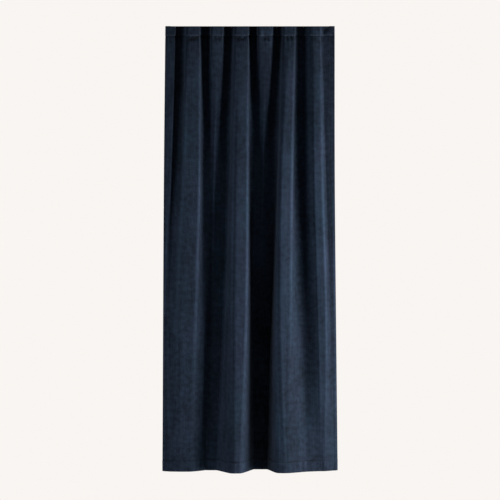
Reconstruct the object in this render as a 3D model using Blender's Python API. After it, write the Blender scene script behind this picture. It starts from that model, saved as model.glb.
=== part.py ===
"""A full-length velvet curtain panel, hanging in folds from a stitched heading.

+Z is up, +X is to the right as seen from the room, and the room is on the -Y side. The origin is the
middle of the top edge, where the curtain is held. Everything is in metres.

The cloth is one sheet. At each height its cross-section is a smooth curve through the crests and
valleys listed below, deepened or flattened until it is as long as the cloth is wide. So eight narrow
folds at the heading run together into three broad ones at the hem without the cloth stretching.
"""

from collections import namedtuple

import bmesh
import bpy
import numpy as np

MM = 0.001

# The cut cloth
CLOTH_WIDTH = 1.400
DROP = 2.500
CLOTH_THICKNESS = 2.0 * MM
HEM_DEPTH = 65 * MM
SIDE_HEM_WIDTH = 30 * MM
SIDE_HEM_END = 45 * MM
STITCHED_STEP = 1.5 * MM

# The heading tape, sewn behind the top edge down to the stitch line that shows in front
STITCH_LINE_DROP = 50 * MM
TAPE_TOP_DROP = 5 * MM
TAPE_THICKNESS = 1.2 * MM
TAPE_END_INSET = 60 * MM
TAPE_GAP = 0.3 * MM

# Colours in linear light
VELVET_NAVY = (0.018, 0.027, 0.044, 1)
TAPE_NAVY = (0.022, 0.028, 0.040, 1)

# Shares of the drop at which the fold tables give their values
STATIONS = (0.0, 0.33, 0.66, 1.0)

# How a wall between crest and valley runs, in mm at each station: how far across it reaches, and how far
# its crest's shoulder reaches in from it. Most folds have a slow left flank and a steep right one.
Wall = namedtuple("Wall", "run shoulder")
SLOW = Wall((14, 16, 40, 90), (8, 16, 22, 30))
CLIMBING = Wall((12, 10, 18, 62), (8, 14, 20, 20))
STEEP = Wall((5, 6, 22, 78), (5, 7, 12, 24))
EASING = Wall((5, 12, 44, 90), (5, 8, 14, 24))
SHARP = Wall((4, 6, 30, 40), (3, 3, 14, 30))
OPENING = Wall((4, 10, 44, 110), (5, 8, 12, 24))
ROUND = Wall((40, 60, 50, 100), (10, 12, 14, 24))
FADING = Wall((6, 46, 50, 50), (6, 16, 20, 30))
STEP = Wall((6, 24, 26, 50), (5, 6, 8, 12))

# Side edges of the hanging cloth, in mm from its middle and behind its foremost crest
Edge = namedtuple("Edge", "across behind")
LEFT_EDGE = Edge((-473, -483, -489, -495), (20, 52, 74, 122))
RIGHT_EDGE = Edge((472, 475, 485, 496), (6, 50, 94, 160))

# Folds that stand forward, left to right. The bulge is how far the middle stands out of the shoulders.
Crest = namedtuple("Crest", "name across behind bulge")
CRESTS = (
    Crest("left edge fold", (-445, -461, -480, -478), (16, 42, 68, 104), (0, 0, 0, 0)),
    Crest("first fold", (-319, -332, -376, -395), (0, 8, 32, 84), (1, 4, 7, 3)),
    Crest("left narrow fold", (-184, -200, -212, -224), (0, 76, 128, 153), (2, 8, 0, 0)),
    Crest("middle fold", (-53, -72, -80, -86), (0, 0, 0, 0), (1, 12, 16, 6)),
    Crest("right narrow fold", (83, 74, 60, 58), (0, 88, 177, 197), (2, 8, 0, 0)),
    Crest("bright fold", (219, 175, 172, 198), (0, 0, 4, 14), (1, 21, 22, 6)),
    Crest("last fold", (352, 360, 383, 402), (4, 20, 44, 108), (4, 13, 9, 0)),
    Crest("right edge fold", (456, 462, 476, 484), (8, 49, 84, 146), (0, 0, 0, 0)),
)

# Valleys between one crest and the next: where their two walls stand, how far back they lie, and how
# each wall runs
Valley = namedtuple("Valley", "left right behind left_wall right_wall")
VALLEYS = (
    Valley((-415, -437, -470, -464), (-361, -389, -440, -440), (62, 64, 58, 92), SHARP, SLOW),
    Valley((-278, -271, -277, -278), (-221, -243, -244, -238), (62, 92, 120, 156), EASING, FADING),
    Valley((-146, -156, -176, -206), (-93, -110, -130, -158), (62, 98, 138, 152), FADING, SLOW),
    Valley((-6, -5, -2, -3), (39, 36, 30, 36), (62, 106, 174, 197), STEEP, FADING),
    Valley((129, 110, 88, 82), (179, 157, 131, 114), (62, 110, 178, 198), FADING, CLIMBING),
    Valley((255, 244, 254, 266), (313, 322, 346, 368), (62, 86, 88, 84), OPENING, ROUND),
    Valley((392, 414, 441, 448), (432, 446, 464, 466), (12, 50, 78, 128), STEP, ROUND),
)

# The mesh: its columns from guide point to guide point, from the left edge to the first crest, across
# each valley from crest to crest, and on to the right edge. Each column is worked out in finer steps.
LEFT_COLUMNS = (2,)
VALLEY_COLUMNS = (1, 2, 4, 2, 4, 2, 1)
RIGHT_COLUMNS = (2,)
FINE_STEPS = 4

# How far below the top edge the mesh's rows lie, in mm
DROPS = (0, 5, 50, 130, 230, 340, 460, 590, 730, 880, 1040, 1210, 1390, 1580, 1780, 1990, 2210)


def along_drop(values, share):
    """The value at a share of the drop, on a smooth curve through the values at the stations."""
    values = np.array(values, float)
    stations = np.array(STATIONS)
    slopes = np.gradient(values, stations)
    left = min(np.searchsorted(stations, share, side="right") - 1, len(stations) - 2)
    gap = stations[left + 1] - stations[left]
    t = (share - stations[left]) / gap
    start_weight = 2 * t**3 - 3 * t**2 + 1
    return (
        start_weight * values[left]
        + (1 - start_weight) * values[left + 1]
        + (t**3 - 2 * t**2 + t) * gap * slopes[left]
        + (t**3 - t**2) * gap * slopes[left + 1]
    )


def crest_side(wall, crest_middle, run, shoulder):
    """How far a wall reaches to its crest's side, and how far on the crest's shoulder ends."""
    room = abs(crest_middle - wall)
    to_crest = min(run / 2, 0.6 * room)
    return to_crest, to_crest + min(shoulder, 0.5 * (room - to_crest))


def guide_points(share):
    """The points that steer the section at a share of the drop: (across, behind) in mm, left to right."""

    def here(values):
        return along_drop(values, share)

    points = [(here(LEFT_EDGE.across), here(LEFT_EDGE.behind))]
    for crest, valley, next_crest in zip(CRESTS, VALLEYS, CRESTS[1:]):
        level = here(crest.behind)
        floor = here(valley.behind)
        next_level = here(next_crest.behind)
        left = here(valley.left)
        right = here(valley.right)
        left_run = here(valley.left_wall.run)
        right_run = here(valley.right_wall.run)
        fit = min(1, 1.8 * (right - left) / (left_run + right_run))
        rise, shoulder_start = crest_side(
            left, here(crest.across), left_run, here(valley.left_wall.shoulder)
        )
        fall, shoulder_end = crest_side(
            right, here(next_crest.across), right_run, here(valley.right_wall.shoulder)
        )
        points += [
            (here(crest.across), level - here(crest.bulge)),
            (left - shoulder_start, level),
            (left - rise, level),
            (left + fit * left_run / 2, floor),
            (right - fit * right_run / 2, floor),
            (right + fall, next_level),
            (right + shoulder_end, next_level),
        ]
    last = CRESTS[-1]
    points.append((here(last.across), here(last.behind) - here(last.bulge)))
    points.append((here(RIGHT_EDGE.across), here(RIGHT_EDGE.behind)))
    return np.array(points)


def smooth_through(points, steps_of_spans):
    """A cubic B-spline steered by the points, starting and ending on the first and the last."""
    padded = np.vstack([2 * points[0] - points[1], points, 2 * points[-1] - points[-2]])
    curve = []
    for start, steps in enumerate(steps_of_spans):
        window = padded[start : start + 4]
        for step in range(steps):
            t = step / steps
            weights = ((1 - t) ** 3, 3 * t**3 - 6 * t**2 + 4, -3 * t**3 + 3 * t**2 + 3 * t + 1, t**3)
            curve.append(np.array(weights) @ window / 6)
    curve.append(points[-1])
    return np.array(curve)


def lengths_along(curve):
    """How far along the curve each of its points lies, from its left end."""
    return np.append(0, np.linalg.norm(np.diff(curve, axis=0), axis=1).cumsum())


def section(share):
    """The cloth's front face at a share of the drop, as a row of points in metres.

    Each point is (x, y, distance along the cloth from its left edge). The folds are deepened or flattened
    until the section is as long as the cloth is wide, and set so that their mean depth is at y = 0 and
    the cloth hangs plumb.
    """
    columns = LEFT_COLUMNS + VALLEY_COLUMNS * len(VALLEYS) + RIGHT_COLUMNS
    curve = smooth_through(guide_points(share), [FINE_STEPS * count for count in columns]) * MM
    shallow, deep = 0.2, 5.0
    for _ in range(40):
        depth_factor = (shallow + deep) / 2
        if lengths_along(curve * (1, depth_factor))[-1] < CLOTH_WIDTH:
            shallow = depth_factor
        else:
            deep = depth_factor
    curve = curve * (1, depth_factor)
    along = lengths_along(curve)
    mean_depth = ((curve[1:, 1] + curve[:-1, 1]) / 2 * np.diff(along)).sum() / CLOTH_WIDTH
    return np.column_stack([curve[:, 0], curve[:, 1] - mean_depth, along])[::FINE_STEPS]


def moved_back(curve, distance):
    """The curve shifted to its back side by an even distance, with mitred corners."""
    directions = np.diff(curve, axis=0)
    directions /= np.linalg.norm(directions, axis=1)[:, None]
    normals = np.stack([-directions[:, 1], directions[:, 0]], axis=1)
    before = np.vstack([normals[:1], normals])
    after = np.vstack([normals, normals[-1:]])
    mitres = before + after
    mitres /= (mitres * after).sum(axis=1)[:, None]
    return curve + mitres * distance


def material(name, colour, roughness):
    made = bpy.data.materials.new(name)
    made.use_nodes = True
    shader = made.node_tree.nodes["Principled BSDF"]
    shader.inputs["Base Color"].default_value = colour
    shader.inputs["Roughness"].default_value = roughness
    shader.inputs["Metallic"].default_value = 0
    made.diffuse_color = colour
    return made


def hanging_sheet(name, curves, drops, thickness, finish):
    """A sheet that hangs through the curves, each at its drop, with its thickness behind them."""
    mesh = bpy.data.meshes.new(name)
    sheet = bmesh.new()
    grid = [[sheet.verts.new((x, y, -drop)) for x, y in curve] for curve, drop in zip(curves, drops)]
    for upper, lower in zip(grid, grid[1:]):
        for column in range(len(upper) - 1):
            sheet.faces.new((upper[column], lower[column], lower[column + 1], upper[column + 1]))
    sheet.to_mesh(mesh)
    sheet.free()
    mesh.materials.append(finish)
    mesh.shade_smooth()
    made = bpy.data.objects.new(name, mesh)
    bpy.context.collection.objects.link(made)
    solidify = made.modifiers.new("thickness", "SOLIDIFY")
    solidify.thickness = thickness
    solidify.offset = -1
    solidify.use_even_offset = True
    return made


def curtain_panel():
    """The velvet, one layer thick, and two where the hems are turned to the back."""
    hem_top = DROP - HEM_DEPTH
    drops = [drop * MM for drop in DROPS] + [hem_top - STITCHED_STEP, hem_top, DROP]
    rows = [section(drop / DROP) for drop in drops]
    curves = [row[:, :2] for row in rows]
    velvet = material("velvet", VELVET_NAVY, 0.85)
    panel = hanging_sheet("curtain_panel", curves, drops, 2 * CLOTH_THICKNESS, velvet)
    layers = panel.vertex_groups.new(name="layers")
    for number, (row, drop) in enumerate(zip(rows, drops)):
        from_side = np.minimum(row[:, 2], CLOTH_WIDTH - row[:, 2])
        double = np.clip((SIDE_HEM_END - from_side) / (SIDE_HEM_END - SIDE_HEM_WIDTH), 0, 1)
        if drop >= hem_top:
            double[:] = 1
        for column, weight in enumerate(0.5 + 0.5 * double):
            layers.add([number * len(row) + column], weight, "REPLACE")
    panel.modifiers["thickness"].vertex_group = layers.name


def heading_tape():
    """The flat tape behind the heading. It follows the folds and stops short of the side hems."""
    drops = (TAPE_TOP_DROP, STITCH_LINE_DROP)
    rows = [section(drop / DROP) for drop in drops]
    clear_of_hems = np.minimum(rows[0][:, 2], CLOTH_WIDTH - rows[0][:, 2]) > TAPE_END_INSET
    curves = [moved_back(row[:, :2], CLOTH_THICKNESS + TAPE_GAP)[clear_of_hems] for row in rows]
    hanging_sheet("heading_tape", curves, drops, TAPE_THICKNESS, material("tape", TAPE_NAVY, 0.9))


def main():
    for thing in list(bpy.data.objects):
        bpy.data.objects.remove(thing)
    curtain_panel()
    heading_tape()


main()
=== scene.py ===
"""A full-length velvet curtain panel, hanging in folds from a stitched heading, in soft studio light.

The room is on the -Y side, and the origin is the middle of the top edge. The cloth is one thin sheet on
the folds of its solid, with its hems turned to the back, its seams and puckers, and the creases of its
packing. Lengths are in metres, but those in the tables of folds, rows, creases and seams are in
millimetres.
"""

from collections import namedtuple

import bpy
import numpy as np
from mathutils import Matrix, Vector


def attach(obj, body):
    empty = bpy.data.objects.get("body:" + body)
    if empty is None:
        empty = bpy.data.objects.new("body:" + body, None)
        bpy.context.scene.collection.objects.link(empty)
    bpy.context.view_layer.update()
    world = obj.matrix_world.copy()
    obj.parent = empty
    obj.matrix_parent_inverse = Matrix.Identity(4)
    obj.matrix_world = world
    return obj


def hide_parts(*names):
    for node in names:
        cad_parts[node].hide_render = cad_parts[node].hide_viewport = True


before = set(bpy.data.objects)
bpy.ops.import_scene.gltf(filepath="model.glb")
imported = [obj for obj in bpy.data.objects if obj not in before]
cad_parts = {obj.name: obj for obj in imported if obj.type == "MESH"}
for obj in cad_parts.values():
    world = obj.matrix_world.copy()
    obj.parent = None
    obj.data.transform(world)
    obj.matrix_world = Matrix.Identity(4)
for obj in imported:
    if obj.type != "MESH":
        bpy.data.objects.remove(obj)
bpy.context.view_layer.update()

MM = 0.001

# The cut cloth
CLOTH_WIDTH = 1.400
DROP = 2.500
CLOTH_THICKNESS = 2.0 * MM
HEM_DEPTH = 65 * MM
SIDE_HEM_WIDTH = 30 * MM
TURNED_EDGE_SLOPE = 1.2 * MM

# The seams: how far each lies from the edge it follows
HEADING_SEAM = 50 * MM
HEM_SEAM = 62 * MM
SIDE_SEAM = 28 * MM

# The tape behind the heading
TAPE_TOP_DROP = 5 * MM
TAPE_DEPTH = 45 * MM
TAPE_THICKNESS = 1.2 * MM
TAPE_END_INSET = 60 * MM
TAPE_GAP = 0.3 * MM

# Shares of the drop at which the fold tables give their values
STATIONS = (0.0, 0.33, 0.66, 1.0)

# How a wall between crest and valley runs, in mm at each station: how far across it reaches, and how far
# its crest's shoulder reaches in from it. Most folds have a slow left flank and a steep right one.
Wall = namedtuple("Wall", "run shoulder")
SLOW = Wall((14, 16, 40, 90), (8, 16, 22, 30))
CLIMBING = Wall((12, 10, 18, 62), (8, 14, 20, 20))
STEEP = Wall((5, 6, 22, 78), (5, 7, 12, 24))
EASING = Wall((5, 12, 44, 90), (5, 8, 14, 24))
SHARP = Wall((4, 6, 30, 40), (3, 3, 14, 30))
OPENING = Wall((4, 10, 44, 110), (5, 8, 12, 24))
ROUND = Wall((40, 60, 50, 100), (10, 12, 14, 24))
FADING = Wall((6, 46, 50, 50), (6, 16, 20, 30))
STEP = Wall((6, 24, 26, 50), (5, 6, 8, 12))

# Side edges of the hanging cloth, in mm from its middle and behind its foremost crest
Edge = namedtuple("Edge", "across behind")
LEFT_EDGE = Edge((-473, -483, -489, -495), (20, 52, 74, 122))
RIGHT_EDGE = Edge((472, 475, 485, 496), (6, 50, 94, 160))

# Folds that stand forward, left to right. The bulge is how far the middle stands out of the shoulders.
Crest = namedtuple("Crest", "name across behind bulge")
CRESTS = (
    Crest("left edge fold", (-445, -461, -480, -478), (16, 42, 68, 104), (0, 0, 0, 0)),
    Crest("first fold", (-319, -332, -376, -395), (0, 8, 32, 84), (1, 4, 7, 3)),
    Crest("left narrow fold", (-184, -200, -212, -224), (0, 76, 128, 153), (2, 8, 0, 0)),
    Crest("middle fold", (-53, -72, -80, -86), (0, 0, 0, 0), (1, 12, 16, 6)),
    Crest("right narrow fold", (83, 74, 60, 58), (0, 88, 177, 197), (2, 8, 0, 0)),
    Crest("bright fold", (219, 175, 172, 198), (0, 0, 4, 14), (1, 21, 22, 6)),
    Crest("last fold", (352, 360, 383, 402), (4, 20, 44, 108), (4, 13, 9, 0)),
    Crest("right edge fold", (456, 462, 476, 484), (8, 49, 84, 146), (0, 0, 0, 0)),
)

# Valleys between one crest and the next: where their two walls stand, how far back they lie, and how
# each wall runs
Valley = namedtuple("Valley", "left right behind left_wall right_wall")
VALLEYS = (
    Valley((-415, -437, -470, -464), (-361, -389, -440, -440), (62, 64, 58, 92), SHARP, SLOW),
    Valley((-278, -271, -277, -278), (-221, -243, -244, -238), (62, 92, 120, 156), EASING, FADING),
    Valley((-146, -156, -176, -206), (-93, -110, -130, -158), (62, 98, 138, 152), FADING, SLOW),
    Valley((-6, -5, -2, -3), (39, 36, 30, 36), (62, 106, 174, 197), STEEP, FADING),
    Valley((129, 110, 88, 82), (179, 157, 131, 114), (62, 110, 178, 198), FADING, CLIMBING),
    Valley((255, 244, 254, 266), (313, 322, 346, 368), (62, 86, 88, 84), OPENING, ROUND),
    Valley((392, 414, 441, 448), (432, 446, 464, 466), (12, 50, 78, 128), STEP, ROUND),
)

# The mesh: its columns from guide point to guide point, each worked out in finer steps, and the columns
# that run beside the side edges, in mm from them
EDGE_TO_CREST_COLUMNS = 4
VALLEY_COLUMNS = (
    (8, 3, 7, 5, 7, 3, 8),
    (8, 3, 14, 5, 7, 3, 8),
    (8, 3, 7, 5, 7, 3, 8),
    (8, 3, 13, 5, 7, 3, 8),
    (8, 3, 7, 5, 7, 3, 8),
    (8, 3, 15, 5, 7, 3, 8),
    (8, 3, 5, 4, 7, 3, 8),
)
FINE_STEPS = 4
SIDE_COLUMNS = (2, 4, 8, 13, 18, 22, 25, 26.5, 28, 29.4, 30.6, 32, 35, 39, 43)
SIDE_COLUMN_REACH = 90 * MM

# How far below the top edge the mesh's rows lie, in mm, and how far apart they are in between
HEADING_ROWS = (
    1, 3, 7, 12, 18, 24, 30, 36, 41, 44.5, 46.5, 48, 49,
    50, 51, 52.5, 54.5, 57, 60, 63.5, 67.5, 72, 77, 83, 90, 98,
)
HEM_ROWS = (2424, 2429, 2432.4, 2433.6, 2435, 2436.5, 2438, 2439.5, 2441.5, 2445, 2451, 2459, 2468, 2478)
LAST_ROWS = (2487, 2493, 2498)
ROW_STEP = 30

# Creases shorter than this have rows of their own, so far from their middle, in mm
SHORT_CREASE = 200
CREASE_ROWS = (-10, -5, 0, 5, 10)

# Soft ridges and troughs in the cloth, in mm. Each lies on a fold, so far to the right of the fold's
# middle along the cloth and so far below the top edge, and it leans so many degrees from upright.
Crease = namedtuple("Crease", "fold aside drop lean length width height")
CREASES = (
    # Puckers at the heading's stitches
    Crease(0, 6, 84, 85, 26, 6, -2.0),
    Crease(1, -20, 66, 30, 30, 9, -4.5),
    Crease(1, -1, 68, 42, 34, 9, -5.0),
    Crease(1, 18, 70, 52, 30, 8, -4.0),
    Crease(2, -10, 64, 40, 24, 8, -3.0),
    Crease(2, 10, 72, 50, 26, 8, -3.4),
    Crease(3, -3, 66, 46, 28, 8, -3.8),
    Crease(3, 16, 68, -40, 28, 8, -4.0),
    Crease(3, -22, 70, 38, 34, 9, -4.6),
    Crease(4, -18, 36, 8, 40, 9, 3.6),
    Crease(4, -8, 64, 50, 36, 10, -3.4),
    Crease(4, 14, 70, 44, 34, 10, -3.6),
    Crease(4, 18, 88, 58, 46, 6, 4.0),
    Crease(5, 12, 64, 56, 30, 9, -3.0),
    Crease(5, -12, 68, 48, 32, 10, -3.2),
    Crease(6, 42, 34, 20, 44, 8, 3.6),
    Crease(6, 10, 74, 70, 60, 8, -2.4),
    Crease(7, -42, 26, -24, 46, 14, -3.4),
    Crease(7, -22, 38, 70, 34, 8, 3.0),
    # Long ridges and troughs down the folds
    Crease(0, 12, 900, 0, 500, 12, -1.4),
    Crease(1, -40, 500, 1, 900, 10, 1.4),
    Crease(1, -86, 560, 0, 800, 26, -2.6),
    Crease(2, 0, 900, -2, 900, 28, 3.0),
    Crease(2, -52, 2050, 0, 1100, 22, 5.0),
    Crease(3, -37, 800, 0, 1300, 10, 1.6),
    Crease(3, -98, 1950, 0, 700, 16, -2.5),
    Crease(4, -4, 900, -1, 800, 30, 3.6),
    Crease(4, -48, 1650, 0, 1700, 16, 3.2),
    Crease(5, 50, 1050, 0, 1000, 12, 1.8),
    Crease(5, 20, 1150, 0, 900, 16, 1.2),
    Crease(5, -32, 2050, 0, 1000, 20, 3.2),
    Crease(5, 30, 2250, 0, 700, 50, -1.8),
    Crease(6, -32, 850, 0, 1300, 22, 2.0),
    Crease(6, 42, 900, 0, 1200, 14, 2.4),
    Crease(6, -5, 1000, 0, 1500, 15, -1.7),
    Crease(6, -12, 2300, 0, 520, 9, 1.6),
    Crease(7, -16, 170, 0, 400, 44, -3.0),
    # Creases across the cloth from its packing
    Crease(0, -4, 515, 90, 26, 5, 1.4),
    Crease(1, 0, 106, 90, 50, 7, -1.0),
    Crease(1, -40, 1430, 90, 50, 5, 1.2),
    Crease(5, 0, 912, 92, 50, 5, 1.3),
    Crease(6, -20, 765, 88, 90, 6, 1.2),
    # Ridges and troughs that the turned hem keeps open
    Crease(2, -88, 2474, 0, 56, 6, 2.6),
    Crease(2, -62, 2470, 0, 50, 8, -1.2),
    Crease(2, -38, 2474, 0, 50, 6, 2.4),
    Crease(2, 50, 2474, 0, 50, 7, 2.8),
    Crease(3, -106, 2474, 0, 50, 7, 1.4),
    Crease(4, -150, 2474, 0, 56, 6, 1.4),
    Crease(4, -125, 2472, 0, 56, 6, 2.8),
    Crease(4, -100, 2474, 0, 50, 5, 1.6),
    Crease(5, 76, 2470, 0, 60, 7, -1.4),
    Crease(5, 98, 2472, 2, 66, 6, 3.2),
    Crease(6, -113, 2472, 0, 60, 6, -1.6),
    Crease(6, -99, 2470, -2, 60, 6, 3.0),
    Crease(7, -60, 2466, 8, 44, 7, 1.0),
)

# The shares of the room between a wall and its crest's middle that the wall and the shoulder may take up,
# and how closely two walls may close a valley up
WALL_SHARE = 0.6
SHOULDER_SHARE = 0.5
VALLEY_FIT = 1.8

# Between which factors the folds' depth is sought, and in how many halvings
LEAST_DEPTH_FACTOR = 0.2
MOST_DEPTH_FACTOR = 5.0
DEPTH_HALVINGS = 30

# How far the cloth stands out beside its stitches, and how far away from them that fades, in mm
Relief = namedtuple("Relief", "height fade")
ABOVE_HEADING_SEAM = Relief(1.6, 14)
BELOW_HEADING_SEAM = Relief(-4.2, 22)
BELOW_HEM_SEAM = Relief(1.2, 40)
AT_SIDE_SEAM = Relief(-0.3, 2.5)

# Where the cloth steps from one side of its stitches to the other: from how far above them, and how soon
SeamStep = namedtuple("SeamStep", "above length")
HEADING_STEP = SeamStep(3 * MM, 5 * MM)
HEM_STEP = SeamStep(1 * MM, 4 * MM)

# Waves along the cloth: how high, how far from the stitches they fade, how far apart, in mm, and which
# random row their unevenness comes from. They start flat at the stitches and rise over the last length.
Waves = namedtuple("Waves", "height fade pitch seed")
PUCKERS_BELOW_HEADING = Waves(2.2, 30, 30, 1)
PUCKERS_ABOVE_HEADING = Waves(0.9, 18, 17, 2)
PUCKERS_IN_HEM = Waves(1.2, 40, 26, 3)
PUCKER_RISE = 8 * MM

# How much the heading's pull and the painted shade on the hem's stitched line vary along the cloth, at a
# pitch in mm
Unevenness = namedtuple("Unevenness", "mean swing pitch seed")
HEADING_PULL = Unevenness(0.75, 0.4, 120, 4)
PAINTED_HEM_LINE_UNEVENNESS = Unevenness(0.6, 0.4, 150, 5)

# How strongly a highlight is painted on the crests at so many metres below the top edge; a gain below 0
# paints shade on them instead
PAINTED_CREST_DROPS = (0.05, 0.30, 0.60, 0.95, 1.60, 2.10, 2.50)
PAINTED_CREST_GAINS = (-0.45, 0.05, 0.70, 1.30, 1.40, 0.75, 0.10)

# A crest of this radius gets the full painted highlight, and a valley gets painted shade of this much at
# most.
# Both are taken from steps of this length, smoothed over this reach.
FULL_PAINTED_HIGHLIGHT_RADIUS = 12 * MM
PAINTED_VALLEY_SHADE = -0.12
PAINTED_CREST_STEP = 2 * MM
PAINTED_CREST_REACH = 4.5 * MM

# How much painted shade darkens the pile where a fold closes around it by more than so many degrees, the
# angle at which a crest is too enclosed for its painted highlight, and the least gap across which an
# angle is taken
PAINTED_CLOSED_FOLD_SHADE = 2.4
CLOSED_FOLD_ANGLE = 107
NO_PAINTED_HIGHLIGHT_ANGLE = 120
LEAST_GAP = 0.01 * MM

# How much the pile is painted lighter for each mm that a crease or a seam raises the cloth, and darker
# for each mm that one sinks it, and how much painted shade darkens the line of the hem's stitches, over
# how wide a line
PAINTED_CREASE_SHADING = 0.11
PAINTED_SEAM_SHADING = 0.07
PAINTED_HEM_LINE_SHADE = 0.7
PAINTED_HEM_LINE_WIDTH = 3 * MM

# The stitches: how far apart, how thick, how many sides, and the thread's girth at shares of its length.
# It is sunk into the cloth by so much of its radius where it is thickest.
STITCH_PITCH = 4 * MM
STITCH_RADIUS = 0.45 * MM
STITCH_SIDES = 5
STITCH_RINGS = ((0.06, 0.35), (0.25, 1.0), (0.75, 1.0), (0.94, 0.35))
STITCH_SINK = 0.75

# How far seams stop from the side edges and from the side hems, at how many heights an upright seam is
# fitted to the folds, and which way a seam faces
SEAM_END_INSET = 4 * MM
SIDE_HEM_CLEARANCE = 3 * MM
UPRIGHT_SEAM_STOPS = 60
ON_FRONT = 1
ON_BACK = -1

# The tape's rows, and how far they stay from its long edges, where the rim is
TAPE_ROWS = 9
TAPE_RIM = 0.6 * MM

# The range that noise mostly keeps to
NOISE_RANGE = (0.3, 0.7)

# A pale floor below the hanging cloth, an even backdrop, and a much dimmer fill light from all around
FLOOR_RADIUS = 0.95
FLOOR_BELOW_HEM = 0.80
FLOOR_FADE = (0.45, 0.98)
BACKDROP = (0.947, 0.913, 0.888)
FILL_STRENGTH = 0.02

# The softboxes stand around the curtain. Their angles are in degrees to the right of straight in front.
Softbox = namedtuple("Softbox", "name angle distance height wide tall power colour")
SOFTBOXES = (
    Softbox("right_softbox", 70, 4.2, -1.85, 2.6, 3.0, 295, (1.0, 0.99, 0.97)),
    Softbox("left_softbox", -60, 3.6, -1.9, 1.6, 3.0, 50, (0.97, 0.985, 1.0)),
    Softbox("front_softbox", 0, 4.5, -1.2, 1.5, 1.5, 12, (1.0, 1.0, 1.0)),
    Softbox("back_right_softbox", 148, 3.6, -1.2, 1.6, 2.4, 90, (1.0, 1.0, 1.0)),
    Softbox("back_left_softbox", -148, 3.6, -1.2, 1.6, 2.4, 90, (1.0, 1.0, 1.0)),
)

# The camera stands level with the top edge, which the photo shows straight, and far away
CAMERA_DISTANCE = 20.0
CAMERA_AIM_DROP = 1.2513
CAMERA_LENS_MM = 257.5
CAMERA_SENSOR_MM = 36


def along_drop(values, share):
    """The value at a share of the drop, on a smooth curve through the values at the stations."""
    values = np.array(values, float)
    stations = np.array(STATIONS)
    slopes = np.gradient(values, stations)
    left = min(np.searchsorted(stations, share, side="right") - 1, len(stations) - 2)
    gap = stations[left + 1] - stations[left]
    t = (share - stations[left]) / gap
    start_weight = 2 * t**3 - 3 * t**2 + 1
    return (
        start_weight * values[left]
        + (1 - start_weight) * values[left + 1]
        + (t**3 - 2 * t**2 + t) * gap * slopes[left]
        + (t**3 - t**2) * gap * slopes[left + 1]
    )


def crest_side(wall, crest_middle, run, shoulder):
    """How far a wall reaches to its crest's side, and how far on the crest's shoulder ends."""
    room = abs(crest_middle - wall)
    to_crest = min(run / 2, WALL_SHARE * room)
    return to_crest, to_crest + min(shoulder, SHOULDER_SHARE * (room - to_crest))


def guide_points(share):
    """The points that steer the section at a share of the drop: (across, behind) in mm, left to right."""

    def here(values):
        return along_drop(values, share)

    points = [(here(LEFT_EDGE.across), here(LEFT_EDGE.behind))]
    for crest, valley, next_crest in zip(CRESTS, VALLEYS, CRESTS[1:]):
        level = here(crest.behind)
        floor = here(valley.behind)
        next_level = here(next_crest.behind)
        left = here(valley.left)
        right = here(valley.right)
        left_run = here(valley.left_wall.run)
        right_run = here(valley.right_wall.run)
        fit = min(1, VALLEY_FIT * (right - left) / (left_run + right_run))
        rise, shoulder_start = crest_side(
            left, here(crest.across), left_run, here(valley.left_wall.shoulder)
        )
        fall, shoulder_end = crest_side(
            right, here(next_crest.across), right_run, here(valley.right_wall.shoulder)
        )
        points += [
            (here(crest.across), level - here(crest.bulge)),
            (left - shoulder_start, level),
            (left - rise, level),
            (left + fit * left_run / 2, floor),
            (right - fit * right_run / 2, floor),
            (right + fall, next_level),
            (right + shoulder_end, next_level),
        ]
    last = CRESTS[-1]
    points.append((here(last.across), here(last.behind) - here(last.bulge)))
    points.append((here(RIGHT_EDGE.across), here(RIGHT_EDGE.behind)))
    return np.array(points)


def smooth_through(points, steps_of_spans):
    """A cubic B-spline steered by the points, starting and ending on the first and the last."""
    padded = np.vstack([2 * points[0] - points[1], points, 2 * points[-1] - points[-2]])
    curve = []
    for start, steps in enumerate(steps_of_spans):
        t = np.arange(steps) / steps
        weights = ((1 - t) ** 3, 3 * t**3 - 6 * t**2 + 4, -3 * t**3 + 3 * t**2 + 3 * t + 1, t**3)
        curve.append(np.stack(weights, axis=1) @ padded[start : start + 4] / 6)
    return np.vstack(curve + [points[-1]])


def lengths_along(curve):
    """How far along the curve each of its points lies, from its left end."""
    return np.append(0, np.linalg.norm(np.diff(curve, axis=0), axis=1).cumsum())


def section(share):
    """The cloth's front face at a share of the drop, as a dense row of (x, y, distance along the cloth).

    The folds are deepened or flattened until the section is as long as the cloth is wide, and set so that
    their mean depth is at y = 0 and the cloth hangs plumb.
    """
    columns = (EDGE_TO_CREST_COLUMNS, *sum(VALLEY_COLUMNS, ()), EDGE_TO_CREST_COLUMNS)
    curve = smooth_through(guide_points(share), [FINE_STEPS * count for count in columns]) * MM
    shallow = LEAST_DEPTH_FACTOR
    deep = MOST_DEPTH_FACTOR
    for _ in range(DEPTH_HALVINGS):
        depth_factor = (shallow + deep) / 2
        if lengths_along(curve * (1, depth_factor))[-1] < CLOTH_WIDTH:
            shallow = depth_factor
        else:
            deep = depth_factor
    curve = curve * (1, depth_factor)
    along = lengths_along(curve)
    mean_depth = ((curve[1:, 1] + curve[:-1, 1]) / 2 * np.diff(along)).sum() / CLOTH_WIDTH
    return np.column_stack([curve[:, 0], curve[:, 1] - mean_depth, along])


def front_normals(curve):
    """The level direction in which the cloth's front faces at each point of a section."""
    tangents = np.gradient(curve, axis=0)
    tangents /= np.linalg.norm(tangents, axis=1)[:, None]
    return np.column_stack([tangents[:, 1], -tangents[:, 0]])


def bump_at(distance, width):
    """A soft bump from 1 in its middle towards 0 on both sides."""
    return np.exp(-((distance / width) ** 2))


def share_past(distance, step):
    """How far a step has been climbed, from 0 to 1, at a distance below the stitches."""
    return np.clip((distance + step.above) / step.length, 0, 1)


def faded(relief, distance):
    """How far the cloth stands out at a distance from the stitches, on either side of them."""
    return relief.height * MM * np.exp(-abs(distance) / (relief.fade * MM))


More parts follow.
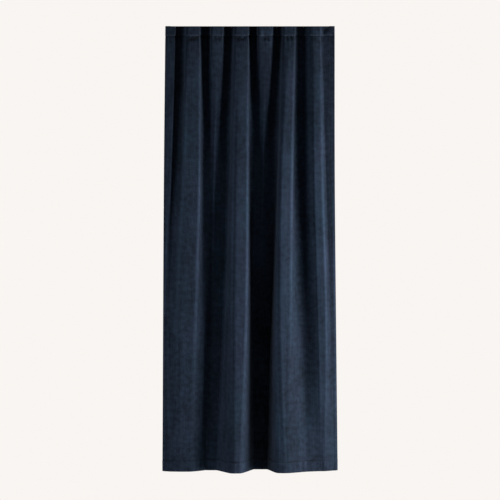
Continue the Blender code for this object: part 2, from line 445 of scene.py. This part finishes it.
def uneven_waves(along, pitch, seed):
    """Small waves along the cloth with an uneven pitch and height, from -1 to 1."""
    phases = np.random.default_rng(seed).uniform(0, 2 * np.pi, 4)
    turns = 2 * np.pi * along / pitch
    waves = np.sin(turns + phases[0] + 1.8 * np.sin(turns * 0.31 + phases[1]))
    slow_swing = 0.55 + 0.45 * np.sin(turns * 0.17 + phases[2])
    quick_swing = 0.8 + 0.2 * np.sin(turns * 0.53 + phases[3])
    return waves * slow_swing * quick_swing


def uneven_share(along, kind):
    """A share that varies along the cloth about its mean."""
    return kind.mean + kind.swing * uneven_waves(along, kind.pitch * MM, kind.seed)


def puckers(along, distance, waves):
    """The waves that stitches raise at a distance to one side of them, and none on the other side."""
    if distance <= 0:
        return 0
    strength = min(distance / PUCKER_RISE, 1) * np.exp(-distance / (waves.fade * MM))
    return waves.height * MM * strength * uneven_waves(along, waves.pitch * MM, waves.seed)


def seam_relief(along, drop):
    """How far the seams draw the cloth in, and the puckers that they raise beside them."""
    from_side = np.minimum(along, CLOTH_WIDTH - along)
    below_heading = drop - HEADING_SEAM
    into_hem = drop - (DROP - HEM_SEAM)
    drawn_in = share_past(below_heading, HEADING_STEP)
    swell = faded(ABOVE_HEADING_SEAM, below_heading) * (1 - drawn_in)
    dip = faded(BELOW_HEADING_SEAM, below_heading) * drawn_in
    relief = (swell + dip) * uneven_share(along, HEADING_PULL)
    relief += faded(BELOW_HEM_SEAM, into_hem) * share_past(into_hem, HEM_STEP)
    relief += AT_SIDE_SEAM.height * MM * bump_at(from_side - SIDE_SEAM, AT_SIDE_SEAM.fade * MM)
    relief += puckers(along, below_heading, PUCKERS_BELOW_HEADING)
    relief += puckers(along, -below_heading, PUCKERS_ABOVE_HEADING)
    relief += puckers(along, into_hem, PUCKERS_IN_HEM)
    return relief


def crease_relief(along, drop, crest_places):
    """How far the creases raise the cloth at each point of a section."""
    relief = np.zeros(len(along))
    for crease in CREASES:
        aside = along - crest_places[crease.fold] - crease.aside * MM
        below = drop - crease.drop * MM
        lean = np.radians(crease.lean)
        down_it = below * np.cos(lean) + aside * np.sin(lean)
        across_it = aside * np.cos(lean) - below * np.sin(lean)
        reach = np.exp(-((2 * down_it / (crease.length * MM)) ** 4))
        relief += crease.height * MM * reach * bump_at(across_it, crease.width * MM)
    return relief


def layers_behind(along, drop):
    """How many layers of cloth lie behind the front face, with soft steps at the turned edges."""
    from_side = np.minimum(along, CLOTH_WIDTH - along)
    side = np.clip((SIDE_HEM_WIDTH + TURNED_EDGE_SLOPE / 2 - from_side) / TURNED_EDGE_SLOPE, 0, 1)
    bottom = np.clip((drop - DROP + HEM_DEPTH + TURNED_EDGE_SLOPE / 2) / TURNED_EDGE_SLOPE, 0, 1)
    return 1 + np.maximum(side, bottom) + 0.5 * side * bottom


def row_drops():
    """How far below the top edge the rows lie: closer together at the seams and at the creases."""
    first, last = HEADING_ROWS[-1], HEM_ROWS[0]
    drops = list(np.linspace(first, last, round((last - first) / ROW_STEP) + 1)[1:-1])
    for crease in CREASES:
        if crease.length < SHORT_CREASE and first + ROW_STEP < crease.drop < last - ROW_STEP:
            drops = [drop for drop in drops if abs(drop - crease.drop) > ROW_STEP / 2]
            drops += [crease.drop + step for step in CREASE_ROWS]
    return np.array([*HEADING_ROWS, *sorted(drops), *HEM_ROWS, *LAST_ROWS]) * MM


def clear_of_side_columns(folds):
    """The places of the columns that follow the folds, drawn in to leave room for the side columns."""
    room = (SIDE_COLUMNS[-1] + 2) * MM
    reach_right = CLOTH_WIDTH - SIDE_COLUMN_REACH
    free = (0, SIDE_COLUMN_REACH, reach_right, CLOTH_WIDTH)
    drawn_in = (room, SIDE_COLUMN_REACH, reach_right, CLOTH_WIDTH - room)
    return np.interp(folds, free, drawn_in)


def turning_forward(dense, along):
    """How sharply the cloth turns forward at each point, which sets its painted highlight: 1 on a tight
    crest, below 0 in a valley.
    """
    stops = np.arange(0, CLOTH_WIDTH, PAINTED_CREST_STEP)
    steps = np.diff([np.interp(stops, dense[:, 2], dense[:, axis]) for axis in (0, 1)])
    turning = np.diff(np.unwrap(np.arctan2(steps[1], steps[0]))) / PAINTED_CREST_STEP
    beside = np.arange(-3 * PAINTED_CREST_REACH, 3.01 * PAINTED_CREST_REACH, PAINTED_CREST_STEP)
    kernel = bump_at(beside, 1.4 * PAINTED_CREST_REACH)
    turning = np.convolve(turning, kernel / kernel.sum(), mode="same")
    opening = np.clip(turning * FULL_PAINTED_HIGHLIGHT_RADIUS, PAINTED_VALLEY_SHADE, 1)
    return np.interp(along, stops[1:-1], opening)


def enclosing_angle(dense, along):
    """The angle, in degrees, that the cloth beside each point closes off in front of it."""
    across, behind, places = dense[::FINE_STEPS].T
    apart = np.abs(across[None, :] - across[:, None]) + LEAST_GAP
    rises = np.degrees(np.arctan2(behind[:, None] - behind[None, :], apart))
    to_right = np.triu(rises, 1).max(axis=1)
    to_left = np.tril(rises, -1).max(axis=1)
    return np.interp(along, places, to_right + to_left)


def painted_light_and_shade(dense, along, drop, creases, seams):
    """The light and shade painted into the pile at each point of a section: painted highlights on crests
    and on raised creases and seams, painted shade in closed folds, in sunk creases and along the hem's
    stitches.
    """
    enclosed = enclosing_angle(dense, along)
    opening = turning_forward(dense, along) * np.interp(drop, PAINTED_CREST_DROPS, PAINTED_CREST_GAINS)
    opening *= np.clip(1 - enclosed / NO_PAINTED_HIGHLIGHT_ANGLE, 0, 1)
    closed = np.clip((enclosed - CLOSED_FOLD_ANGLE) / (180 - CLOSED_FOLD_ANGLE), 0, 1)
    opening -= PAINTED_CLOSED_FOLD_SHADE * closed
    opening += PAINTED_CREASE_SHADING * creases / MM + PAINTED_SEAM_SHADING * seams / MM
    painted_hem_shade = PAINTED_HEM_LINE_SHADE * bump_at(drop - (DROP - HEM_SEAM), PAINTED_HEM_LINE_WIDTH)
    return opening - painted_hem_shade * uneven_share(along, PAINTED_HEM_LINE_UNEVENNESS)


# Each row also holds the light and shade painted into the pile along it
ClothRow = namedtuple("ClothRow", "drop along front normals layers opening")


def cloth_row(drop):
    """One row of the cloth's mesh: its front points, and what the back is built from."""
    dense = section(min(drop / DROP, 1))
    to_crests = np.cumsum([EDGE_TO_CREST_COLUMNS, *(sum(columns) for columns in VALLEY_COLUMNS)])
    crest_places = dense[FINE_STEPS * to_crests, 2]
    beside_edge = np.array(SIDE_COLUMNS) * MM
    folds = clear_of_side_columns(dense[::FINE_STEPS, 2])
    along = np.concatenate([beside_edge, folds, CLOTH_WIDTH - beside_edge[::-1]])
    curve = np.column_stack([np.interp(along, dense[:, 2], dense[:, axis]) for axis in (0, 1)])
    normals = front_normals(curve)
    seams = seam_relief(along, drop)
    creases = crease_relief(along, drop, crest_places)
    front = curve + normals * (seams + creases)[:, None]
    opening = painted_light_and_shade(dense, along, drop, creases, seams)
    return ClothRow(drop, along, front, normals, layers_behind(along, drop), opening)


def mesh_from(name, vertices, faces, finishes, face_finishes=None):
    """A smooth-shaded object from its points and faces, with the number of each face's finish."""
    mesh = bpy.data.meshes.new(name)
    mesh.from_pydata([tuple(vertex) for vertex in vertices], [], [tuple(face) for face in faces])
    for finish in finishes:
        mesh.materials.append(finish)
    if face_finishes is not None:
        mesh.polygons.foreach_set("material_index", np.array(face_finishes, dtype=np.int32))
    mesh.shade_smooth()
    mesh.validate()
    made = bpy.data.objects.new(name, mesh)
    bpy.context.collection.objects.link(made)
    return made


def grid_faces(grid):
    """The quads between neighbouring entries of a grid of vertex numbers."""
    corners = (grid[:-1, :-1], grid[1:, :-1], grid[1:, 1:], grid[:-1, 1:])
    return np.stack([corner.ravel() for corner in corners], axis=1)


def around(grid):
    """The entries on the border of a grid, in order around it from the top left to the right."""
    return np.concatenate([grid[0], grid[1:, -1], grid[-1, -2::-1], grid[-2:0:-1, 0]])


def add_place_attributes(made, places, painted_shadings):
    """Gives each vertex its place on the flat cloth, and the light and shade painted into the pile there.
    """
    cloth = made.data.attributes.new("cloth_place", "FLOAT_VECTOR", "POINT")
    cloth.data.foreach_set("vector", np.asarray(places, dtype=np.float32).ravel())
    opening = made.data.attributes.new("painted_light_and_shade", "FLOAT", "POINT")
    opening.data.foreach_set("value", np.asarray(painted_shadings, dtype=np.float32).ravel())


def closed_sheet(name, front, back, outward, places, painted_shadings, finishes, back_is_plain):
    """A closed thin sheet from its front and back grids of points, with a rounded edge between them."""
    rows, columns = front.shape[:2]
    front_grid = np.arange(rows * columns).reshape(rows, columns)
    back_grid = front_grid + rows * columns
    rim = np.arange(2 * rows * columns, 2 * rows * columns + 2 * (rows + columns) - 4)
    front_edge, back_edge = around(front_grid), around(back_grid)
    points = np.vstack([front.reshape(-1, 3), back.reshape(-1, 3)])
    rim_points = (points[front_edge] + points[back_edge]) / 2
    half = np.linalg.norm(points[front_edge] - points[back_edge], axis=1)[:, None] / 2
    rim_points += outward * half
    faces = [grid_faces(front_grid), grid_faces(back_grid)[:, ::-1]]
    for near, far in ((front_edge, rim), (rim, back_edge)):
        faces.append(np.stack([near, np.roll(near, -1), np.roll(far, -1), far], axis=1))
    face_count = len(faces[0])
    kinds = np.zeros(sum(len(part) for part in faces), dtype=int)
    kinds[face_count : 2 * face_count] = back_is_plain.ravel()
    made = mesh_from(name, np.vstack([points, rim_points]), np.vstack(faces), finishes, kinds)
    flat_places = places.reshape(-1, 3)
    flat_painted_shadings = painted_shadings.ravel()
    # The back takes the front's painted light and shade with its sign turned, and the rim takes the
    # front's
    add_place_attributes(
        made,
        np.vstack([flat_places, flat_places, flat_places[front_edge]]),
        np.concatenate([flat_painted_shadings, -flat_painted_shadings, flat_painted_shadings[front_edge]]),
    )
    return made


def edge_directions(rows):
    """Which way the rim bulges at each point around the sheet."""
    ends = np.array([[row.normals[0], row.normals[-1]] for row in rows])
    grid = np.zeros((len(rows), len(rows[0].along), 3))
    grid[:, 0, 0] = ends[:, 0, 1]
    grid[:, 0, 1] = -ends[:, 0, 0]
    grid[:, -1, 0] = -ends[:, 1, 1]
    grid[:, -1, 1] = ends[:, 1, 0]
    grid[0, :, 2] = 1
    grid[-1, :, 2] = -1
    numbers = around(np.arange(grid.shape[0] * grid.shape[1]).reshape(grid.shape[:2]))
    directions = grid.reshape(-1, 3)[numbers]
    return directions / np.linalg.norm(directions, axis=1)[:, None]


def grids_of(rows):
    """The rows' front points, normals and places on the flat cloth, as grids of three numbers each."""
    fronts = []
    normals = []
    places = []
    for row in rows:
        zeros = np.zeros(len(row.along))
        fronts.append(np.column_stack([row.front, zeros - row.drop]))
        normals.append(np.column_stack([row.normals, zeros]))
        places.append(np.column_stack([row.along, zeros + row.drop, zeros]))
    return np.array(fronts), np.array(normals), np.array(places)


def curtain_cloth(rows, velvet, plain_back):
    """The velvet with its hems turned to the back."""
    front, normals, places = grids_of(rows)
    layers = np.array([row.layers for row in rows])
    back = front - normals * (layers * CLOTH_THICKNESS)[:, :, None]
    painted_shadings = np.array([row.opening for row in rows])
    corners = (layers[:-1, :-1], layers[1:, :-1], layers[1:, 1:], layers[:-1, 1:])
    one_layer = np.maximum.reduce(corners) < 1.5
    rim = edge_directions(rows)
    finishes = [velvet, plain_back]
    return closed_sheet("curtain_cloth", front, back, rim, places, painted_shadings, finishes, one_layer)


def heading_tape(tape):
    """The woven tape behind the heading, on the folds of the cloth."""
    rows = []
    for drop in np.linspace(TAPE_TOP_DROP + TAPE_RIM, TAPE_TOP_DROP + TAPE_DEPTH - TAPE_RIM, TAPE_ROWS):
        row = cloth_row(drop)
        kept = np.minimum(row.along, CLOTH_WIDTH - row.along) > TAPE_END_INSET
        rows.append(ClothRow(drop, *(values[kept] for values in row[1:])))
    cloth_front, normals, places = grids_of(rows)
    front = cloth_front - normals * (CLOTH_THICKNESS + TAPE_GAP)
    back = front - normals * TAPE_THICKNESS
    painted_shadings = np.zeros(places.shape[:2])
    one_finish = np.zeros((len(rows) - 1, len(rows[0].along) - 1), dtype=int)
    rim = edge_directions(rows)
    return closed_sheet("heading_tape_woven", front, back, rim, places, painted_shadings, [tape], one_finish)


def stitch_points(start, end, outward):
    """The points of one stitch: rings around the thread, thinner where it dips into the cloth."""
    along = end - start
    length = np.linalg.norm(along)
    along = along / length
    side = np.cross(along, outward)
    side /= np.linalg.norm(side)
    up = np.cross(side, along)
    points = []
    for share, girth in STITCH_RINGS:
        centre = start + along * length * share + up * STITCH_RADIUS * (girth - STITCH_SINK)
        for turn in np.arange(STITCH_SIDES) * 2 * np.pi / STITCH_SIDES:
            points.append(centre + STITCH_RADIUS * girth * (np.cos(turn) * side + np.sin(turn) * up))
    return points


def stitch_faces(first):
    """The faces of one stitch whose points are numbered from the first on."""
    faces = []
    last_ring = first + (len(STITCH_RINGS) - 1) * STITCH_SIDES
    for ring in range(first, last_ring, STITCH_SIDES):
        for number in range(STITCH_SIDES):
            here = ring + number
            beside = ring + (number + 1) % STITCH_SIDES
            faces.append((here, beside, beside + STITCH_SIDES, here + STITCH_SIDES))
    faces.append(tuple(first + number for number in reversed(range(STITCH_SIDES))))
    faces.append(tuple(last_ring + number for number in range(STITCH_SIDES)))
    return faces


def stitches(name, seams, thread):
    """Rows of short stitches. A seam is a row of evenly spaced points and the directions they face in."""
    vertices = []
    faces = []
    for points, outward in seams:
        for start, end, out in zip(points[:-1], points[1:], outward[:-1]):
            faces += stitch_faces(len(vertices))
            vertices += stitch_points(start, end, out)
    return mesh_from(name, vertices, faces, [thread])


def point_on(row, along, behind):
    """A point on or behind the front face of a row, and the direction in which it faces."""
    place = np.array([np.interp(along, row.along, row.front[:, axis]) for axis in (0, 1)])
    normal = np.array([np.interp(along, row.along, row.normals[:, axis]) for axis in (0, 1)])
    normal /= np.linalg.norm(normal)
    spot = place - normal * behind
    return np.array([*spot, -row.drop]), np.array([*normal, 0.0])


def level_seam(drop, from_side, behind, facing):
    """A seam across the cloth at a drop, on its front or its back."""
    row = cloth_row(drop)
    stops = np.arange(from_side, CLOTH_WIDTH - from_side, STITCH_PITCH)
    pairs = [point_on(row, stop, behind) for stop in stops]
    return np.array([place for place, _ in pairs]), np.array([normal * facing for _, normal in pairs])


def upright_seam(rows, from_left, behind, facing):
    """A seam down the cloth at a distance from its left edge."""
    stops = np.arange(HEADING_SEAM, DROP - HEM_SEAM, STITCH_PITCH)
    pairs = [point_on(row, from_left, behind) for row in rows]
    places = np.array([place for place, _ in pairs])
    normals = np.array([normal for _, normal in pairs])
    drops = -places[:, 2]
    points = np.column_stack([np.interp(stops, drops, places[:, axis]) for axis in range(3)])
    facings = np.column_stack([np.interp(stops, drops, normals[:, axis]) for axis in range(3)])
    return points, facings * facing


def make_seams(painted_highlight_thread, dark_thread):
    """The heading's stitches, in thread painted lighter as a highlight, and those of the hems."""
    back_of_hem = 2 * CLOTH_THICKNESS
    heading_seam = level_seam(HEADING_SEAM, SEAM_END_INSET, 0, ON_FRONT)
    hem_seams = [
        level_seam(DROP - HEM_SEAM, SEAM_END_INSET, 0, ON_FRONT),
        level_seam(DROP - HEM_SEAM, SIDE_HEM_WIDTH + SIDE_HEM_CLEARANCE, back_of_hem, ON_BACK),
    ]
    rows = [cloth_row(drop) for drop in np.linspace(HEADING_SEAM, DROP - HEM_SEAM, UPRIGHT_SEAM_STOPS)]
    for from_left in (SIDE_SEAM, CLOTH_WIDTH - SIDE_SEAM):
        hem_seams.append(upright_seam(rows, from_left, 0, ON_FRONT))
        hem_seams.append(upright_seam(rows, from_left, back_of_hem, ON_BACK))
    return [
        stitches("heading_stitches", [heading_seam], painted_highlight_thread),
        stitches("hem_stitches", hem_seams, dark_thread),
    ]


def make_material(name, build):
    """A material whose nodes the given function builds."""
    made = bpy.data.materials.new(name)
    made.use_nodes = True
    build(made.node_tree, made.node_tree.nodes["Principled BSDF"])
    return made


def node(tree, kind, **values):
    """A new node with some of its inputs or settings given by name."""
    made = tree.nodes.new(kind)
    for name, value in values.items():
        if name in made.inputs:
            made.inputs[name].default_value = value
        else:
            setattr(made, name, value)
    return made


def cloth_place(tree, stretch):
    """The place on the flat cloth in metres, stretched by so many repeats a metre each way."""
    place = node(tree, "ShaderNodeAttribute", attribute_name="cloth_place")
    scaled = node(tree, "ShaderNodeVectorMath", operation="MULTIPLY")
    scaled.inputs[1].default_value = stretch
    tree.links.new(place.outputs["Vector"], scaled.inputs[0])
    return scaled.outputs["Vector"]


def noise(tree, stretch, detail):
    """Uneven noise, with so many repeats a metre across and down the cloth."""
    made = node(tree, "ShaderNodeTexNoise", Scale=1.0, Detail=detail)
    tree.links.new(cloth_place(tree, stretch), made.inputs["Vector"])
    return made.outputs["Fac"]


def mapped(tree, value, low, high, to_low, to_high):
    """A value stretched from one range to another, and kept within it."""
    made = node(tree, "ShaderNodeMapRange")
    for number, amount in enumerate((low, high, to_low, to_high), start=1):
        made.inputs[number].default_value = amount
    tree.links.new(value, made.inputs[0])
    return made.outputs[0]


def patches(tree, stretch, detail, low, high):
    """Noise as patches between two tones."""
    return mapped(tree, noise(tree, stretch, detail), *NOISE_RANGE, low, high)


def added(tree, first, second):
    """The sum of two values."""
    made = node(tree, "ShaderNodeMath", operation="ADD")
    tree.links.new(first, made.inputs[0])
    tree.links.new(second, made.inputs[1])
    return made.outputs[0]


def colour_ramp(tree, value, stops):
    """The colour that a value picks out between stops of (position, colour)."""
    ramp = node(tree, "ShaderNodeValToRGB")
    points = ramp.color_ramp.elements
    while len(points) < len(stops):
        points.new(0.5)
    for point, (position, colour) in zip(points, stops):
        point.position = position
        point.color = (*colour, 1)
    tree.links.new(value, ramp.inputs["Fac"])
    return ramp.outputs["Color"]


def bump(tree, height, distance, strength, below=None):
    """Bump from a height, over another bump where one is given."""
    made = node(tree, "ShaderNodeBump", Distance=distance, Strength=strength)
    tree.links.new(height, made.inputs["Height"])
    if below is not None:
        tree.links.new(below, made.inputs["Normal"])
    return made.outputs["Normal"]


def velvet_finish(tree, shader):
    """Dark navy pile: cloudy where brushed, streaked down the nap, with painted highlights on crests and
    painted shade in folds.
    """
    clouds = patches(tree, (9, 5, 1), 4, -0.10, 0.10)
    streaks = patches(tree, (260, 7, 1), 3, -0.09, 0.09)
    mottle = patches(tree, (34, 42, 1), 3, -0.12, 0.12)
    grain = patches(tree, (170, 230, 1), 4, -0.12, 0.12)
    # Painted light and shade from the cloth's shape: lighter on crests, darker in closed folds, troughs
    # and along the hem's stitches
    opening = node(tree, "ShaderNodeAttribute", attribute_name="painted_light_and_shade").outputs["Fac"]
    crest = mapped(tree, opening, -0.6, 1.3, 0.10, 1.0)
    uneven = added(tree, added(tree, clouds, mottle), streaks)
    shade = added(tree, uneven, added(tree, grain, crest))
    colour = colour_ramp(
        tree,
        shade,
        (
            (0.0, (0.002, 0.004, 0.007)),
            (0.30, (0.0115, 0.0205, 0.038)),
            (0.84, (0.034, 0.058, 0.102)),
            (1.0, (0.043, 0.073, 0.127)),
        ),
    )
    tint = colour_ramp(
        tree,
        noise(tree, (6, 2.5, 1), 2),
        ((0.35, (0.93, 1.0, 1.0)), (0.65, (1.08, 0.98, 1.02))),
    )
    tinted = node(tree, "ShaderNodeVectorMath", operation="MULTIPLY")
    tree.links.new(colour, tinted.inputs[0])
    tree.links.new(tint, tinted.inputs[1])
    tree.links.new(tinted.outputs["Vector"], shader.inputs["Base Color"])
    pile = bump(tree, noise(tree, (1100, 800, 1), 3), 0.5 * MM, 0.5)
    brushed = bump(tree, noise(tree, (120, 14, 1), 3), 1.2 * MM, 0.35, pile)
    tree.links.new(brushed, shader.inputs["Normal"])
    shader.inputs["Roughness"].default_value = 0.85
    shader.inputs["Specular IOR Level"].default_value = 0.15
    shader.inputs["Sheen Weight"].default_value = 0.2
    shader.inputs["Sheen Roughness"].default_value = 0.35
    shader.inputs["Sheen Tint"].default_value = (0.55, 0.68, 0.92, 1)


def weave_height(tree, across_threads, down_threads):
    """Plain weave as a height, from so many threads a metre each way."""
    place = node(tree, "ShaderNodeSeparateXYZ")
    scaled = cloth_place(tree, (across_threads * np.pi, down_threads * np.pi, 1))
    tree.links.new(scaled, place.inputs[0])
    waves = []
    for axis in (0, 1):
        wave = node(tree, "ShaderNodeMath", operation="SINE")
        tree.links.new(place.outputs[axis], wave.inputs[0])
        waves.append(wave.outputs[0])
    product = node(tree, "ShaderNodeMath", operation="MULTIPLY")
    tree.links.new(waves[0], product.inputs[0])
    tree.links.new(waves[1], product.inputs[1])
    return product.outputs[0]


def plain_back_finish(tree, shader):
    """The woven ground that shows on the back of the velvet."""
    clouds = patches(tree, (12, 8, 1), 3, 0.2, 0.7)
    streaks = patches(tree, (700, 12, 1), 2, -0.2, 0.2)
    tone = added(tree, clouds, streaks)
    colour = colour_ramp(tree, tone, ((0.0, (0.020, 0.027, 0.042)), (1.0, (0.045, 0.057, 0.083))))
    tree.links.new(colour, shader.inputs["Base Color"])
    tree.links.new(bump(tree, weave_height(tree, 1500, 1300), 0.25 * MM, 0.8), shader.inputs["Normal"])
    shader.inputs["Roughness"].default_value = 0.9
    shader.inputs["Specular IOR Level"].default_value = 0.2
    shader.inputs["Sheen Weight"].default_value = 0.08
    shader.inputs["Sheen Roughness"].default_value = 0.5
    shader.inputs["Sheen Tint"].default_value = (0.6, 0.7, 0.9, 1)


def tape_finish(tree, shader):
    """Ribbed woven tape."""
    tone = patches(tree, (40, 400, 1), 3, 0.0, 1.0)
    colour = colour_ramp(tree, tone, ((0.0, (0.018, 0.023, 0.034)), (1.0, (0.040, 0.048, 0.066))))
    tree.links.new(colour, shader.inputs["Base Color"])
    tree.links.new(bump(tree, weave_height(tree, 450, 900), 0.5 * MM, 0.9), shader.inputs["Normal"])
    shader.inputs["Roughness"].default_value = 0.8
    shader.inputs["Specular IOR Level"].default_value = 0.3


def painted_highlight_thread_finish(tree, shader):
    """Twisted sewing thread, painted lighter than the pile as a highlight on the heading's stitched line.
    """
    thread_finish(tree, shader, (0.07, 0.09, 0.13), (0.15, 0.18, 0.24))


def dark_thread_finish(tree, shader):
    """Twisted sewing thread, as dark as the pile."""
    thread_finish(tree, shader, (0.006, 0.010, 0.018), (0.016, 0.024, 0.040))


def thread_finish(tree, shader, dark, light):
    """Thread with a fine twist between two colours."""
    place = node(tree, "ShaderNodeTexCoord").outputs["Object"]
    twist = node(tree, "ShaderNodeTexNoise", Scale=1800.0, Detail=2.0)
    tree.links.new(place, twist.inputs["Vector"])
    colour = colour_ramp(tree, twist.outputs["Fac"], ((0.3, dark), (0.7, light)))
    tree.links.new(colour, shader.inputs["Base Color"])
    tree.links.new(bump(tree, twist.outputs["Fac"], 0.2 * MM, 0.6), shader.inputs["Normal"])
    shader.inputs["Roughness"].default_value = 0.55


def floor_finish(tree, shader):
    """Pale matt floor that fades out towards its rim."""
    place = node(tree, "ShaderNodeTexCoord").outputs["Object"]
    distance = node(tree, "ShaderNodeVectorMath", operation="LENGTH")
    tree.links.new(place, distance.inputs[0])
    mottle = node(tree, "ShaderNodeTexNoise", Scale=3.0, Detail=4.0)
    tree.links.new(place, mottle.inputs["Vector"])
    tones = ((0.3, (0.80, 0.78, 0.75)), (0.7, (0.84, 0.82, 0.79)))
    colour = colour_ramp(tree, mottle.outputs["Fac"], tones)
    tree.links.new(colour, shader.inputs["Base Color"])
    fade_start, fade_end = FLOOR_FADE
    cover = mapped(
        tree, distance.outputs["Value"], FLOOR_RADIUS * fade_start, FLOOR_RADIUS * fade_end, 1, 0
    )
    tree.links.new(cover, shader.inputs["Alpha"])
    shader.inputs["Roughness"].default_value = 0.7


def make_floor():
    """The floor, which is staging and no part of the curtain."""
    bpy.ops.mesh.primitive_circle_add(
        vertices=128, radius=FLOOR_RADIUS, fill_type="NGON", location=(0, 0, -DROP - FLOOR_BELOW_HEM)
    )
    floor = bpy.context.object
    floor.name = "floor"
    floor.data.materials.append(make_material("pale_floor", floor_finish))


def make_world():
    """An even pale background, and a much dimmer fill light from all around."""
    world = bpy.data.worlds.new("studio")
    world.use_nodes = True
    tree = world.node_tree
    seen = tree.nodes["Background"]
    seen.inputs["Color"].default_value = (*BACKDROP, 1)
    seen.inputs["Strength"].default_value = 1
    fill = node(tree, "ShaderNodeBackground", Color=(*BACKDROP, 1), Strength=FILL_STRENGTH)
    mix = node(tree, "ShaderNodeMixShader")
    rays = node(tree, "ShaderNodeLightPath")
    tree.links.new(rays.outputs["Is Camera Ray"], mix.inputs[0])
    tree.links.new(fill.outputs[0], mix.inputs[1])
    tree.links.new(seen.outputs[0], mix.inputs[2])
    tree.links.new(mix.outputs[0], tree.nodes["World Output"].inputs["Surface"])
    bpy.context.scene.world = world
    bpy.context.scene.view_settings.view_transform = "Standard"


def point_at(thing, target):
    """Turns a light or the camera to face a point."""
    direction = Vector(target) - thing.location
    thing.rotation_euler = direction.to_track_quat("-Z", "Y").to_euler()


def make_lights():
    """The softboxes, each turned towards the middle of the curtain."""
    for softbox in SOFTBOXES:
        light = bpy.data.lights.new(softbox.name, "AREA")
        light.shape = "RECTANGLE"
        light.size = softbox.wide
        light.size_y = softbox.tall
        light.energy = softbox.power
        light.color = softbox.colour
        made = bpy.data.objects.new(softbox.name, light)
        angle = np.radians(softbox.angle)
        across = softbox.distance * np.sin(angle)
        behind = -softbox.distance * np.cos(angle)
        made.location = (across, behind, softbox.height)
        point_at(made, (0, 0, -DROP / 2))
        bpy.context.collection.objects.link(made)


def make_camera():
    """The camera, level with the top edge and tipped down to the curtain."""
    data = bpy.data.cameras.new("camera")
    data.lens = CAMERA_LENS_MM
    data.sensor_width = CAMERA_SENSOR_MM
    camera = bpy.data.objects.new("camera", data)
    camera.location = (0, -CAMERA_DISTANCE, 0)
    point_at(camera, (0, 0, -CAMERA_AIM_DROP))
    bpy.context.collection.objects.link(camera)
    bpy.context.scene.camera = camera


def main():
    """Builds the studio and the curtain, and tells the frame what each piece is."""
    make_camera()
    make_world()
    make_lights()
    make_floor()
    velvet = make_material("navy_velvet", velvet_finish)
    plain_back = make_material("velvet_ground", plain_back_finish)
    tape = make_material("woven_tape", tape_finish)
    # The heading's thread is painted lighter, as a highlight
    painted_highlight_thread = make_material("painted_highlight_thread", painted_highlight_thread_finish)
    dark_thread = make_material("dark_thread", dark_thread_finish)
    rows = [cloth_row(drop) for drop in row_drops()]
    cloth = curtain_cloth(rows, velvet, plain_back)
    woven_tape = heading_tape(tape)
    seams = make_seams(painted_highlight_thread, dark_thread)
    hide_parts("curtain_panel")
    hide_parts("heading_tape")
    for piece in (cloth, woven_tape, *seams):
        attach(piece, "root")


main()
